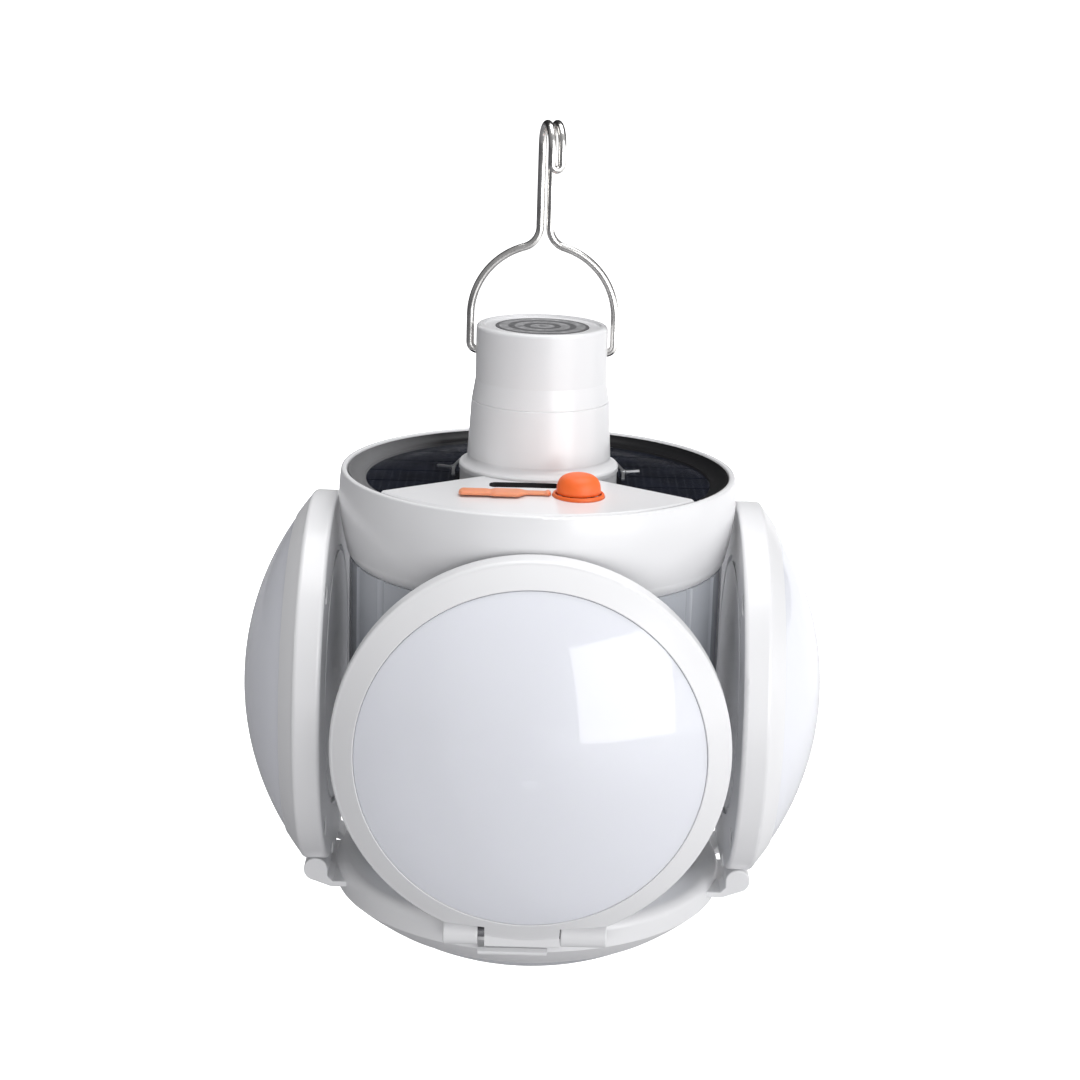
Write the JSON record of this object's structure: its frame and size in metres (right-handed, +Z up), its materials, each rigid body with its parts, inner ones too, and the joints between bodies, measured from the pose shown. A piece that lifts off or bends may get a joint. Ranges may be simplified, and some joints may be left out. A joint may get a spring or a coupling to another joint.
{
  "type": "solar lantern",
  "caption": "Folding ball-shaped solar lantern: round light leaves with domed milky lenses hinge down from a column; solar panel cap, battery neck and wire hook bail.",
  "frame": {"origin": "lowest point of the base's domed light, on the lantern's axis", "axes": "+Z up along the column to the hook, -Y towards the button and charging socket, +X to the right seen from there"},
  "size_m": [0.115, 0.115, 0.1683],
  "materials": {
    "white_shell": "gloss",
    "milky_lens": "satin, translucent milky",
    "panel_black": "gloss resin",
    "cell_dark": "gloss resin over silicon",
    "trim_dark": "satin",
    "silver_lead": "tinned",
    "grey_disc": "matte print",
    "steel_wire": "polished wire",
    "orange_silicone": "soft satin",
    "socket_steel": "plated",
    "black_plastic": "matte",
    "green_board": "solder mask",
    "battery_wrap": "shrink wrap",
    "spring_steel": "plated",
    "contact_brass": "plain",
    "wire_red": "satin",
    "column_grey": "gloss",
    "board_white": "white solder mask",
    "light_chip": "phosphor",
    "screw_steel": "zinc",
    "pin_steel": "bright"
  },
  "bodies": {
    "body": {"cap_housing": "white_shell", "cap_deck": "white_shell", "solar_panel": "panel_black", "solar_cells": "cell_dark", "panel_frame": "trim_dark", "panel_leads": "silver_lead", "neck_tube": "white_shell", "neck_cap": "white_shell", "neck_disc": "grey_disc", "button_collar": "orange_silicone", "charging_socket": "socket_steel", "switch_body": "black_plastic", "control_board": "green_board", "battery_cell": "battery_wrap", "battery_sleeve": "white_shell", "bottom_spring": "spring_steel", "top_contact": "contact_brass", "battery_wires": "wire_red", "column": "column_grey", "base_housing": "white_shell", "base_bezel": "white_shell", "base_lens": "milky_lens", "base_light_board": "board_white", "base_light_chips": "light_chip", "base_screws": "screw_steel", "front_leaf_hinge_pin": "pin_steel", "right_leaf_hinge_pin": "pin_steel", "back_leaf_hinge_pin": "pin_steel", "left_leaf_hinge_pin": "pin_steel"},
    "hook_bail": {"hook_bail": "steel_wire"},
    "button": {"button_dome": "orange_silicone", "switch_plunger": "black_plastic"},
    "port_cover": {"cover_strap": "orange_silicone", "port_cover": "orange_silicone"},
    "front_leaf": {"front_leaf_tray": "white_shell", "front_leaf_bezel": "white_shell", "front_leaf_lens": "milky_lens", "front_leaf_light_board": "board_white", "front_leaf_light_chips": "light_chip", "front_leaf_screws": "screw_steel"},
    "right_leaf": {"right_leaf_tray": "white_shell", "right_leaf_bezel": "white_shell", "right_leaf_lens": "milky_lens", "right_leaf_light_board": "board_white", "right_leaf_light_chips": "light_chip", "right_leaf_screws": "screw_steel"},
    "back_leaf": {"back_leaf_tray": "white_shell", "back_leaf_bezel": "white_shell", "back_leaf_lens": "milky_lens", "back_leaf_light_board": "board_white", "back_leaf_light_chips": "light_chip", "back_leaf_screws": "screw_steel"},
    "left_leaf": {"left_leaf_tray": "white_shell", "left_leaf_bezel": "white_shell", "left_leaf_lens": "milky_lens", "left_leaf_light_board": "board_white", "left_leaf_light_chips": "light_chip", "left_leaf_screws": "screw_steel"}
  },
  "joints": [
    {"name": "front_leaf_hinge", "type": "hinge", "parent": "body", "child": "front_leaf", "pos_m": [0, -0.042, 0.0208], "axis": [1, 0, 0], "range_deg": [0, 90]},
    {"name": "right_leaf_hinge", "type": "hinge", "parent": "body", "child": "right_leaf", "pos_m": [0.042, 0, 0.0208], "axis": [0, 1, 0], "range_deg": [0, 90]},
    {"name": "back_leaf_hinge", "type": "hinge", "parent": "body", "child": "back_leaf", "pos_m": [0, 0.042, 0.0208], "axis": [-1, 0, 0], "range_deg": [0, 90]},
    {"name": "left_leaf_hinge", "type": "hinge", "parent": "body", "child": "left_leaf", "pos_m": [-0.042, 0, 0.0208], "axis": [0, -1, 0], "range_deg": [0, 90]},
    {"name": "bail_hinge", "type": "hinge", "parent": "body", "child": "hook_bail", "pos_m": [0, 0, 0.1237], "axis": [1, 0, 0], "range_deg": [-110, 97]},
    {"name": "button_press", "type": "slide", "parent": "body", "child": "button", "axis": [0, 0, -1], "range_m": [0, 0.0008]},
    {"name": "port_cover_hinge", "type": "hinge", "parent": "body", "child": "port_cover", "pos_m": [0.0021, -0.024, 0.10145], "axis": [0, 1, 0], "range_deg": [0, 90]}
  ]
}
